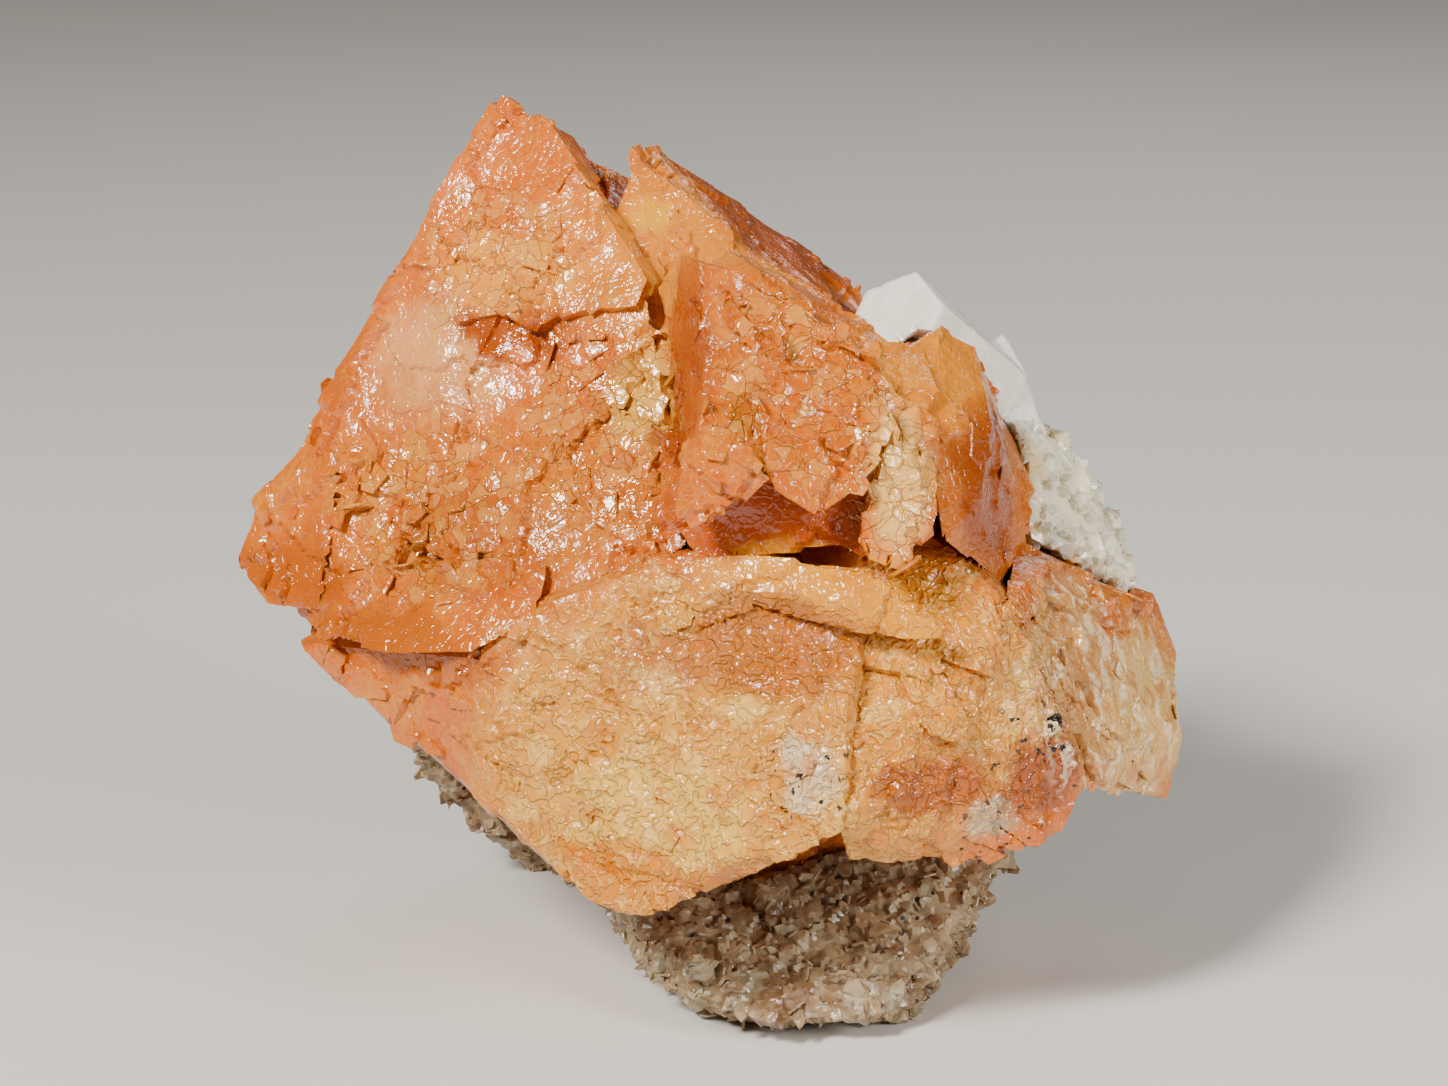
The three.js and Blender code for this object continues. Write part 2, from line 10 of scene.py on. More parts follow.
import bmesh
import bpy
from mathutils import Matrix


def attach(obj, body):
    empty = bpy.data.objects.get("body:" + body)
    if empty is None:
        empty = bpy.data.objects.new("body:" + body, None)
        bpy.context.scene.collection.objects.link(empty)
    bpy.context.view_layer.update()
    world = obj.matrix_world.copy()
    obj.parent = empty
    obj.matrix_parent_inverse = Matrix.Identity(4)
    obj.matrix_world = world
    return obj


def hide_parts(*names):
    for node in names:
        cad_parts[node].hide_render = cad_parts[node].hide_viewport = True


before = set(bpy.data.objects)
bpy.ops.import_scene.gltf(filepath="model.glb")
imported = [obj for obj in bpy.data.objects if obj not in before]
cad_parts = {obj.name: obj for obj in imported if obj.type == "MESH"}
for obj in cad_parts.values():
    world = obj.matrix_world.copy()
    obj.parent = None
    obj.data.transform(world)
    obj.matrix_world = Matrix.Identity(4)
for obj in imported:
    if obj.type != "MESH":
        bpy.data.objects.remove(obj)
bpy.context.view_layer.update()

# %% [markdown]
# ## Camera
# A photograph of a hand specimen is taken with a long lens from a little above the table. The camera looks
# along +Y and down by 15 degrees, from a third of a metre, so near and far crystals keep their proportions.

# %% Camera
camera = bpy.data.objects.new("camera", bpy.data.cameras.new("camera"))
camera.data.lens = 100
camera.data.sensor_width = 36
camera.location = (-0.003, -0.3238, 0.12396)
camera.rotation_euler = (math.radians(75), 0, 0)
bpy.context.scene.collection.objects.link(camera)
bpy.context.scene.camera = camera
print("camera is", round(camera.location.length, 3), "m from the middle of the foot")

# %% [markdown]
# ## Floor and light
# Wet-looking crystal faces are seen by what they reflect. Two soft, slightly warm lights stand on either side
# of the camera, and a weak one behind marks the edges of the crystals. An even warm grey fills the shadows.

# %% Light
def area_light(name, place, aim, width, power, colour=(1, 1, 1)):
    """A square soft light at place that shines towards aim, both in metres."""
    data = bpy.data.lights.new(name, "AREA")
    data.size = width
    data.energy = power
    data.color = colour
    light = bpy.data.objects.new(name, data)
    light.location = place
    across, away, up = [b - a for a, b in zip(place, aim)]
    tilt = math.atan2(math.hypot(across, away), -up)
    light.rotation_euler = (tilt, 0, math.atan2(-across, away))
    bpy.context.scene.collection.objects.link(light)


middle_of_piece = (0, 0, 0.04)
area_light("key", (-0.34, -0.42, 0.48), middle_of_piece, width=0.14, power=9.2, colour=(1, 0.95, 0.86))
area_light("fill", (0.46, -0.36, 0.26), middle_of_piece, width=0.22, power=3.6, colour=(1, 0.96, 0.9))
area_light("rim", (0.18, 0.42, 0.42), middle_of_piece, width=0.25, power=0.6)
world = bpy.data.worlds.new("studio")
bpy.context.scene.world = world
world.use_nodes = True
around = world.node_tree.nodes["Background"]
around.inputs["Color"].default_value = (0.88, 0.85, 0.81, 1)
around.inputs["Strength"].default_value = 0.11

# %% [markdown]
# ## Writing nodes as sums
# A finish is mostly arithmetic on a few fields: distances, noise, cells. Clicking that together takes dozens
# of Math nodes, so a small class holds one output of a node and turns Python's operators into Math nodes.
# The second class adds any node to a tree, in a material and in Geometry Nodes alike.

# %% Outputs that can be added and multiplied
class Wire:
    """One output of a node, which takes part in sums."""

    def __init__(self, board, socket):
        self.board = board
        self.socket = socket

    def other(self, name):
        """Another output of the same node."""
        return Wire(self.board, self.socket.node.outputs[name])

    def work(self, operation, *others):
        """A Math node that starts from this output."""
        return self.board.node("ShaderNodeMath", {"operation": operation}, (self, *others))

    def __add__(self, other):
        return self.work("ADD", other)

    def __sub__(self, other):
        return self.work("SUBTRACT", other)

    def __rsub__(self, other):
        return self.board.node("ShaderNodeMath", {"operation": "SUBTRACT"}, (other, self))

    def __mul__(self, other):
        return self.work("MULTIPLY", other)

    def __gt__(self, other):
        return self.work("GREATER_THAN", other)

    def __lt__(self, other):
        return self.work("LESS_THAN", other)


# %% Boards that nodes are added to
class Board:
    """A node tree and the ways to add to it."""

    def __init__(self, tree):
        self.tree = tree

    def node(self, kind, settings=None, values=(), output=0):
        """Adds a node of any kind, sets it, fills its sockets and gives back one of its outputs."""
        node = self.tree.nodes.new(kind)
        for name, setting in (settings or {}).items():
            setattr(node, name, setting)
        for name, value in (values.items() if isinstance(values, dict) else enumerate(values)):
            if isinstance(value, Wire):
                self.tree.links.new(value.socket, node.inputs[name])
            else:
                node.inputs[name].default_value = value
        return Wire(self, node.outputs[output]) if len(node.outputs) else node

    def vector(self, operation, *values, output="Vector"):
        return self.node("ShaderNodeVectorMath", {"operation": operation}, values, output)

    def dot(self, first, second):
        return self.vector("DOT_PRODUCT", first, second, output="Value")

    def scaled(self, vector, amount):
        return self.node("ShaderNodeVectorMath", {"operation": "SCALE"}, {0: vector, "Scale": amount})

    def stray(self, colour):
        """A random colour as a random direction, each part from -0.5 to 0.5."""
        return self.vector("SUBTRACT", colour, (0.5, 0.5, 0.5))

    def mix(self, amount, first, second):
        """Goes from the first colour to the second."""
        return self.node("ShaderNodeMix", {"data_type": "RGBA"}, {0: amount, 6: first, 7: second}, 2)

    def band(self, value, low, high):
        """0 at low and 1 at high, with a soft step between them."""
        values = {"Value": value, "From Min": low, "From Max": high}
        return self.node("ShaderNodeMapRange", {"interpolation_type": "SMOOTHSTEP"}, values)

    def noise(self, point, size, detail=2, output=0):
        values = {"Vector": point, "Scale": 1 / size, "Detail": detail}
        return self.node("ShaderNodeTexNoise", {}, values, output)

    def cells(self, point, size, output="Distance", feature="F1"):
        """Grains about size mm across: their distance field, their colour or their middles."""
        values = {"Vector": point, "Scale": 1 / size}
        return self.node("ShaderNodeTexVoronoi", {"feature": feature}, values, output)

    def in_mm(self, place):
        return self.vector("MULTIPLY", place, (1000, 1000, 1000))


def paint(red, green, blue):
    """A colour given in the 0 to 255 of a colour picker, as the linear numbers that nodes take."""
    scaled = [value / 255 for value in (red, green, blue)]
    return (*[((v + 0.055) / 1.055) ** 2.4 if v > 0.04 else v / 12.92 for v in scaled], 1)


print("an orange as nodes take it:", [round(v, 3) for v in paint(235, 120, 50)])

# %% [markdown]
# ## Crystal facets as a field
# A crystal face that grew in patches is a mosaic of small planes, each a little tilted. Cells give the
# mosaic: inside a cell the height is the distance from the cell's middle along a random direction, so it is a
# plane, and a random step lifts or sinks the whole cell. The same field moves the mesh and, smaller, feeds
# the bump. Overlapping growth steps and worm-like etching are fields too.

# %% Facets, steps and curls
def facets(board, point, size, tilt, step):
    """The height in mm of a mosaic of planes, each about size mm across."""
    middle = board.cells(point, size, "Position")
    chance = board.stray(middle.other("Color"))
    slope = board.dot(board.vector("SUBTRACT", point, middle), chance)
    return slope * tilt + board.dot(chance, (1, 0, 0)) * step


def shingles(board, point, direction, width):
    """Overlapping growth steps: a ramp from 0 to 1 that starts again every width mm, with ragged edges."""
    along = board.dot(point, [part / width for part in direction])
    chance = board.dot(board.cells(point, width * 0.6, "Color"), (1, 0, 0))
    ramp = along + board.noise(point, width * 1.2) * 1.4 + chance * 0.3
    return ramp.work("FRACT")


def curls(board, point, size):
    """Worm-like etched ridges: 1 along them and 0 between."""
    bent = board.vector("ADD", point, board.noise(point, size * 2.2, 1, "Color"))
    wave = board.noise(bent, size, 1)
    return board.band((wave - 0.5).work("ABSOLUTE"), 0.09, 0)


# %% Patches
def patch(board, point, centre, radii):
    """1 inside an ellipsoid given in mm, falling to 0 across its edge."""
    edge = 0.25
    away = board.vector("DIVIDE", board.vector("SUBTRACT", point, centre), radii)
    return board.band(board.vector("LENGTH", away, output="Value"), 1 + edge, 1 - edge)


def ragged(board, point, cell_size, wander):
    """Points pulled to the middles of their cells and about, so that patches end along facets."""
    middle = board.cells(point, cell_size, "Position")
    half = board.scaled(board.vector("ADD", point, middle), 0.5)
    drift = board.stray(board.noise(point, 5, output="Color"))
    return board.vector("ADD", half, board.scaled(drift, wander))


print("fields ready")

# %% [markdown]
# ## The zones of the specimen
# The cluster isn't one stone all over. The block below is sugary, the broad faces above are crazed into small
# cells, others are sharp and clean, and dark specks sit low on the right. Each zone is an ellipsoid, given by
# its centre and its radii in mm, because a few dozen of them are quick to place and to change.

# %% Zones
block_zones = [
    ((-4, -24, 26), (19, 12, 15)),
    ((14, -20, 30), (12, 10, 11)),
]
crazed_zones = [
    ((-21, -4, 62), (7, 8, 6)),
    ((-12, -14, 50), (9, 8, 9)),
    ((10, -23, 49), (5, 6, 9)),
    ((-28, -12, 44), (9, 8, 9)),
    ((4, -21, 55), (9, 8, 8)),
]
sharp_zones = [
    ((0, -16, 60), (10, 16, 10)),
    ((15, -12, 50), (8, 12, 11)),
    ((-3, 4, 66), (9, 16, 6)),
]
speck_zones = [
    ((22, -19.6, 25), (6, 5, 5)),
    ((3.5, -27, 26), (4, 4, 4)),
    ((-12, -25, 18.6), (1.4, 2, 1.2)),
    ((18, -21, 20), (5, 4, 3)),
]
clean_zones = [
    ((0, 6, 65), (11, 14, 9)),
]
streak_zones = [
    ((26, -12, 29), (6, 10, 11)),
    ((32, -5, 22), (7, 10, 10)),
]


def together(board, point, zones):
    """1 in any of the zones."""
    inside, *others = [patch(board, point, centre, radii) for centre, radii in zones]
    for here in others:
        inside = inside.work("MAXIMUM", here)
    return inside


print("zones:", len(block_zones + crazed_zones + sharp_zones + speck_zones + clean_zones + streak_zones))

# %% [markdown]
# ## The body of the scheelite
# The frame's solid has large flat triangles, and a mosaic of facets needs far more points than that. A sharp
# remesh covers the solid with an even grid, keeps its edges and drops loose crumbs. The grid's fineness is
# chosen piece by piece, so that each stays under the triangles that its file may have.

# %% Dense meshes from the solids
def settle(piece):
    """Makes what the modifiers give the piece's own mesh, none of it below the floor, and removes them."""
    evaluated = piece.evaluated_get(bpy.context.evaluated_depsgraph_get())
    mesh = bpy.data.meshes.new_from_object(evaluated)
    for point in mesh.vertices:
        point.co.z = max(point.co.z, 0)
    piece.modifiers.clear()
    piece.data = mesh


def dense_copy(node, name, cells_across):
    """A closed mesh over one of the frame's solids, with edges kept."""
    mesh = bpy.data.meshes.new(name)
    working = bmesh.new()
    working.from_mesh(bpy.data.objects[node].data)
    bmesh.ops.remove_doubles(working, verts=working.verts, dist=1e-6)
    working.to_mesh(mesh)
    working.free()
    piece = bpy.data.objects.new(name, mesh)
    bpy.context.scene.collection.objects.link(piece)
    remesh = piece.modifiers.new("grid", "REMESH")
    remesh.mode = "SHARP"
    remesh.octree_depth = 8
    remesh.scale = cells_across / 2 ** remesh.octree_depth
    remesh.use_remove_disconnected = True
    remesh.threshold = 0.01
    settle(piece)
    print(name, len(piece.data.polygons), "faces")
    return piece


scheelite = dense_copy("scheelite_crystals", "scheelite_body", 190)

# %% [markdown]
# ## Etching the surface
# Nothing on a grown crystal is quite flat. Painting the relief by hand would take days and couldn't be
# changed later, so a small Geometry Nodes tree moves every point along its normal by a height field. The same
# function serves all four minerals, each with a field of its own.

# %% Trees that work on a piece
def geometry_tree(name, *labels):
    """A tree from geometry to geometry with number inputs: its board, what comes in, and the inputs' names."""
    tree = bpy.data.node_groups.new(name, "GeometryNodeTree")
    tree.interface.new_socket("Geometry", in_out="INPUT", socket_type="NodeSocketGeometry")
    inputs = {}
    for label in labels:
        socket = tree.interface.new_socket(label, in_out="INPUT", socket_type="NodeSocketFloat")
        inputs[label] = socket.identifier
    tree.interface.new_socket("Geometry", in_out="OUTPUT", socket_type="NodeSocketGeometry")
    board = Board(tree)
    return board, board.node("NodeGroupInput"), inputs


def run_tree(piece, tree, inputs, **values):
    """Runs a tree on a piece with these values in its inputs, and keeps what comes out."""
    modifier = piece.modifiers.new(tree.name, "NODES")
    modifier.node_group = tree
    for label, value in values.items():
        modifier[inputs[label]] = value
    settle(piece)


# %% Etch a surface
def etch(piece, height, depth=1.0):
    """Moves each point along its normal by height(board, point), in mm times depth."""
    board, surface, inputs = geometry_tree(piece.name + "_etching", "Depth")
    point = board.in_mm(board.node("GeometryNodeInputPosition"))
    amount = height(board, point) * surface.other("Depth")
    shift = board.scaled(board.node("GeometryNodeInputNormal"), amount * 0.001)
    moved = board.node("GeometryNodeSetPosition", {}, {"Geometry": surface, "Offset": shift})
    board.node("NodeGroupOutput", {}, {"Geometry": moved})
    run_tree(piece, board.tree, inputs, Depth=depth)
    print(piece.name, "etched")


def scheelite_height(board, point):
    """Wide plates on the crystals, sugary etching on the block, in mm."""
    block = together(board, point, block_zones)
    crazed = together(board, point, crazed_zones)
    sharp = together(board, point, sharp_zones)
    wavy = board.vector("ADD", point, board.noise(point, 6, 1, "Color"))
    down_right = shingles(board, point, (0.80, 0.2, -0.55), 7.0) * 0.6
    down_left = shingles(board, point, (-0.45, 0.2, -0.85), 9.0) * 0.5
    ledges = (down_right + down_left) * (1 - sharp * 0.75)
    plates = facets(board, wavy, 5.0, 0.10, 0.20) + facets(board, point, 1.5, 0.16, 0.14) * crazed
    sugar = facets(board, point, 1.8, 0.24, 0.16) + curls(board, point, 1.6) * 0.16
    return (plates + ledges - 0.4) * (1 - block) + (sugar + ledges * 0.5) * block - 0.1


etch(scheelite, scheelite_height)

# %% [markdown]
# ## Fewer triangles where it is flat
# An even grid spends as many points on a flat face as on a crack. Decimate joins the flattest faces first,
# which brings the body under its limit and leaves the edges alone.

# %% Thin out the flat parts
def thinned(piece, most):
    """Joins faces, the flattest first, until a piece has at most so many triangles."""
    triangles = sum(len(face.vertices) - 2 for face in piece.data.polygons)
    thin = piece.modifiers.new("thin", "DECIMATE")
    thin.ratio = min(1, most / triangles)
    settle(piece)
    print(piece.name, "from", triangles, "to", len(piece.data.polygons), "triangles")


thinned(scheelite, 196000)

# %% [markdown]
# ## The colours of the scheelite
# Broad faces are salmon, and the block below is cream with a waxy yellow rim. The deep orange of thin edges
# and undersides is painted glow, and the faces turned from the light, the recess under the third crystal and
# the foot of the block carry painted shade. Each tint is a colour and its ellipsoid, and a later one lies over
# those before it. The deep tints, with the painted glow and shade among them, come last and in a list of their
# own, because the pale clouds of the finish stay off them.

# %% Tints of the scheelite
plain_tint = paint(193, 91, 7)
scheelite_tints = [
    (paint(204, 98, 20), (-22, -6, 62), (14, 14, 12)),
    (paint(220, 134, 40), (-20, -6, 61), (6.5, 8, 3.4)),
    (paint(209, 122, 28), (-6, -6, 63), (9, 12, 9)),
    (paint(221, 153, 14), (-9, -1, 65.5), (1.6, 5, 1.2)),
    # a paler layer whose pinkish colour is partly its own and partly a painted sheen
    (paint(212, 142, 84), (-27, -5, 54), (6, 7, 4.6)),
    (paint(196, 100, 14), (-13, -14, 46), (9, 9, 5)),
    (paint(216, 153, 49), (-9, -13, 52.5), (3, 7, 4)),
    (paint(176, 83, 7), (-22, -13, 41), (10, 8, 4)),
    (paint(185, 87, 0), (2, -22, 57), (8, 8, 9)),
    (paint(200, 101, 14), (4, -22, 59.5), (5, 5, 3)),
    (paint(212, 126, 14), (14, -12, 55), (7, 8, 6)),
    (paint(228, 172, 88), (10.5, -23, 49), (2.6, 5, 7)),
    (paint(206, 134, 30), (-5, -25, 25), (20, 12, 15)),
    (paint(208, 130, 24), (13, -23, 31), (10, 9, 9)),
    (paint(222, 170, 66), (-8, -24, 22), (8, 8, 5)),
    (paint(176, 100, 26), (-9, -22, 34), (5, 6, 2.6)),
    (paint(203, 119, 4), (-10, -23, 15.5), (11, 8, 4)),
    (paint(200, 148, 88), (25, -14, 30), (5, 9, 9)),
    (paint(214, 172, 102), (32, -5, 22), (7, 10, 9)),
    # painted shade: a dark brown band along the foot of the block, where it steps back above the mica
    (paint(126, 59, 8), (4, -20, 14), (12, 9, 4)),
    (paint(168, 146, 118), (18, -22.5, 20.5), (2.2, 4, 1.6)),
    (paint(204, 184, 150), (3.5, -27, 26), (2.0, 3, 2.6)),
]
deep_and_painted_light_tints = [
    # painted shade: the third crystal's narrow left face, turned from the light
    (paint(150, 60, 0), (-5.8, -18, 56), (2.4, 6, 9)),
    # painted glow: deep orange under the cap's broken edge, along the left corner's lower edge and the lobe's
    # bottom edge
    (paint(156, 66, 0), (-21, -7, 56.4), (6, 4, 1.6)),
    (paint(172, 82, 0), (-37, -5, 36), (7, 6, 3)),
    (paint(172, 84, 0), (-28, -15, 33), (11, 8, 3)),
    # painted shade in the recess under the third crystal
    (paint(166, 68, 0), (1, -20, 45), (10, 4, 4.5)),
    # painted shade: the right crystal's side and the far face of the crystal behind, turned from the light
    (paint(146, 62, 0), (18.5, -14, 46), (4, 8, 7)),
    (paint(160, 72, 0), (1, 13, 63), (10, 14, 9)),
    (paint(216, 138, 0), (3, -25, 41), (8, 5, 2.2)),
    (paint(216, 138, 0), (11, -23, 38), (4.4, 5, 2.4)),
    (paint(172, 96, 14), (1, -24, 35.5), (7, 5, 4.4)),
    (paint(164, 80, 0), (13, -24.5, 24), (5.4, 5, 3)),
    (paint(146, 66, 0), (22.5, -19.8, 23.4), (4, 5, 3.8)),
]


def tinted(board, point, colour, tints):
    """Lays each tint over the colours before it."""
    for tint, centre, radii in tints:
        colour = board.mix(patch(board, point, centre, radii), colour, tint)
    return colour


print("tints:", len(scheelite_tints) + len(deep_and_painted_light_tints))

# %% [markdown]
# ## Zones kept on the mesh
# Worked out in the material, some fifty ellipsoids would be computed again at every sample of the render.
# They change slowly, so Geometry Nodes compute them once per point and store them as attributes of the mesh.

# %% Keep the zones on the mesh
def zoning():
    """A tree that stores the tint and the zones of every point, so that the material only reads them."""
    board, surface, inputs = geometry_tree("scheelite_zones", "Wander")
    point = board.in_mm(board.node("GeometryNodeInputPosition"))
    blurred = ragged(board, point, 2.0, surface.other("Wander"))
    stored = {
        "tint": ("FLOAT_COLOR", tinted(board, blurred, plain_tint, scheelite_tints + deep_and_painted_light_tints)),
        "deep": ("FLOAT", together(board, blurred, [zone for _, *zone in deep_and_painted_light_tints])),
        "block": ("FLOAT", together(board, blurred, block_zones)),
        "crazed": ("FLOAT", together(board, blurred, crazed_zones)),
        "specked": ("FLOAT", together(board, blurred, speck_zones)),
        "streaked": ("FLOAT", together(board, blurred, streak_zones)),
    }
    for label, (kind, value) in stored.items():
        values = {"Geometry": surface, "Name": label, "Value": value}
        surface = board.node("GeometryNodeStoreNamedAttribute", {"data_type": kind}, values)
    board.node("NodeGroupOutput", {}, {"Geometry": surface})
    return board.tree, inputs


zone_tree, zone_inputs = zoning()


def keep_zones(piece):
    run_tree(piece, zone_tree, zone_inputs, Wander=3.0)
    print(piece.name, "keeps", piece.data.attributes.keys())


keep_zones(scheelite)

# %% [markdown]
# ## Materials
# The minerals here share three traits: a pattern that is measured in mm on the piece, a bump made of heights
# in mm, and light that wanders under the surface before it comes out. A few helpers hold these.

# %% Helpers for materials
def new_material(name):
    """A material, its board, its shader and a point in mm on the piece."""
    material = bpy.data.materials.new(name)
    material.use_nodes = True
    board = Board(material.node_tree)
    point = board.in_mm(board.node("ShaderNodeTexCoord", {}, {}, "Object"))
    return material, board, material.node_tree.nodes["Principled BSDF"], point


def feed(board, shader, **wires):
    """Links wires to the shader's sockets, with _ for the spaces in their names."""
    for name, wire in wires.items():
        board.tree.links.new(wire.socket, shader.inputs[name.replace("_", " ")])


def relief(board, height):
    """The bump that a height in mm gives."""
    return board.node("ShaderNodeBump", {}, {"Height": height, "Distance": 0.001, "Strength": 1.0})


def let_light_in(shader, index, weight, reach, depth):
    """Refraction, and light under the surface, whose red, green and blue reach so many depths in metres."""
    shader.inputs["IOR"].default_value = index
    shader.inputs["Subsurface Weight"].default_value = weight
    shader.inputs["Subsurface Radius"].default_value = reach
    shader.inputs["Subsurface Scale"].default_value = depth


def shades(board, point, size):
    """A random red, green and blue for each cell, as three numbers of one node."""
    return board.node("ShaderNodeSeparateColor", {}, [board.cells(point, size, "Color")])


# %% [markdown]
# ## The finish of the scheelite
# Scheelite is greasy-glassy and lets light in a few millimetres. A high refractive index gives the hard
# highlights and subsurface scattering the glow. The tint and the zones come from the mesh, and cells, noise
# and curled ridges add what is finer than its points; the paler colour on the ridges is partly a painted
# highlight. Every cell of the crazing has its own gloss, and some cells a paler colour that is partly a
# painted highlight, so that single flakes flash, and cracks a hair wide run between them.

# %% Scheelite colour
growth_cell = 1.5
crack_width = 0.045


def kept(board, name, output="Fac"):
    """An attribute that the mesh keeps."""
    return board.node("ShaderNodeAttribute", {"attribute_name": name}, {}, output)


def clouded(board, colour, cloud, drift, block, pale):
    """Light and dark clouds, wide ones on everything and narrow ones, the drift, on the block."""
    colour = board.mix(board.band(cloud, 0.5, 0.7) * 0.28 * pale, colour, paint(212, 144, 27))
    colour = board.mix(board.band(cloud, 0.5, 0.3) * 0.4, colour, paint(184, 86, 1))
    colour = board.mix(board.band(drift, 0.55, 0.68) * block * 0.6, colour, paint(190, 96, 6))
    return board.mix(board.band(drift, 0.45, 0.32) * block * 0.45 * pale, colour, paint(240, 202, 118))


def specks(board, point):
    """Dark mineral grains in two sizes."""
    small = board.band(board.noise(point, 0.9), 0.64, 0.67)
    return small + board.band(board.noise(point, 2.2, 3), 0.68, 0.70)


# %% Scheelite material
def make_scheelite():
    material, board, shader, point = new_material("scheelite")
    zone_names = ("block", "crazed", "specked", "streaked", "deep")
    block, crazed, specked, streaked, deep = [kept(board, name) for name in zone_names]
    pale = 1 - deep
    wander = board.stray(board.noise(point, 2.0, output="Color"))
    wavy = board.vector("ADD", point, board.scaled(wander, 2.4))
    cell = board.cells(wavy, growth_cell, "Position")
    luck = board.node("ShaderNodeSeparateColor", {}, [cell.other("Color")])
    border = board.cells(wavy, growth_cell, "Distance", "DISTANCE_TO_EDGE")
    crack = board.band(border, crack_width, 0.0)
    cloud = board.noise(point, 6, 5)
    drift = board.noise(point, 3.2, 3)
    fine = board.noise(wavy, 0.9, 3)
    worms = curls(board, point, 1.0)
    streak = board.noise(board.vector("MULTIPLY", wavy, (1, 1, 0.25)), 1.0, 3)

    colour = clouded(board, kept(board, "tint", "Color"), cloud, drift, block, pale)
    colour = board.mix(board.band(fine, 0.52, 0.75) * 0.22 * pale, colour, paint(216, 159, 35))
    # Paler flakes in the crazed zones: partly their own colour, partly a painted highlight.
    colour = board.mix((luck > 0.7) * (crazed * 0.22 + 0.03) * pale, colour, paint(228, 172, 84))
    colour = board.mix(crack * (1 - block) * (crazed * 0.5 + 0.1), colour, paint(158, 74, 1))
    # Paler yellow along the worm-like etched ridges: partly their own colour, partly a painted highlight.
    colour = board.mix(worms * (block * 0.25 + 0.12) * pale, colour, paint(226, 184, 92))
    colour = board.mix(board.band(fine, 0.46, 0.3) * block * 0.55, colour, paint(176, 100, 26))
    colour = board.mix(board.band(streak, 0.53, 0.63) * streaked * 0.6, colour, paint(244, 226, 194))
    colour = board.mix(board.band(streak, 0.46, 0.36) * streaked * 0.6, colour, paint(186, 108, 44))
    colour = board.mix(specks(board, point) * specked, colour, paint(30, 22, 16))

    slope = board.stray(cell.other("Color"))
    plane = board.dot(board.vector("SUBTRACT", wavy, cell), slope)
    height = plane * (crazed * 0.14 + 0.03) + worms * (block * 0.15 + 0.03) + fine * (block * 0.22 + 0.10)
    height = height - crack * 0.05 * (crazed + 0.2) + cloud * 0.25 + streak * streaked * 0.4
    roughness = luck.other("Blue") * 0.12 + 0.08
    feed(board, shader, Base_Color=colour, Roughness=roughness, Normal=relief(board, height))
    let_light_in(shader, 1.6, 0.12, (1.0, 0.6, 0.2), 0.002)
    return material


scheelite_look = make_scheelite()
print("scheelite nodes:", len(scheelite_look.node_tree.nodes))

# %% [markdown]
# ## Dressing a piece
# Small facets have to look flat and still join into a broad face. Smooth shading with every edge marked sharp
# above an angle does both. Then the piece is tied to the frame: its carrier and its solid.

# %% Dress the body
def dressed(piece, look, sharp_angle):
    """Gives a piece its material and shades it smooth up to an angle in degrees."""
    piece.data.materials.clear()
    piece.data.materials.append(look)
    piece.data.polygons.foreach_set("use_smooth", [True] * len(piece.data.polygons))
    piece.data.set_sharp_from_angle(angle=math.radians(sharp_angle))
    print(piece.name, "is", look.name)


dressed(scheelite, scheelite_look, 22)
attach(scheelite, "root")
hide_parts("scheelite_crystals")

# %% [markdown]
# ## Thin growth plates
# Up close the faces are covered with flat polygons a millimetre or two wide and paper thin, whose edges catch
# the light. Modelling them one by one is hopeless, but they are all alike: a few small templates are made
# first, and Geometry Nodes then scatter them over a body, each turned and sized at random.

# %% Templates of flat plates
def keep_template(collection, number, working):
    """Puts a finished shape into a collection of templates."""
    name = f"{collection.name}_{number}"
    mesh = bpy.data.meshes.new(name)
    working.to_mesh(mesh)
    working.free()
    collection.objects.link(bpy.data.objects.new(name, mesh))


def flat_templates(name, count, sides, thickness, seed):
    """A collection of small irregular plates, one unit in radius, with a narrower top."""
    chance = random.Random(seed)
    collection = bpy.data.collections.new(name)
    levels = ((1.0, -thickness), (1.0, thickness * 0.3), (0.88, thickness))
    for number in range(count):
        corners = chance.randint(*sides)
        turns = sorted(2 * math.pi * (i + chance.uniform(-0.3, 0.3)) / corners for i in range(corners))
        reach = [chance.uniform(0.75, 1.1) for _ in turns]
        outline = [(r * math.cos(t), r * math.sin(t)) for r, t in zip(reach, turns)]
        working = bmesh.new()
        loops = [[working.verts.new((size * x, size * y, z)) for x, y in outline] for size, z in levels]
        working.faces.new(loops[0][::-1])
        working.faces.new(loops[-1])
        for low, high in zip(loops, loops[1:]):
            for i in range(corners):
                j = (i + 1) % corners
                working.faces.new((low[i], low[j], high[j], high[i]))
        keep_template(collection, number, working)
    return collection


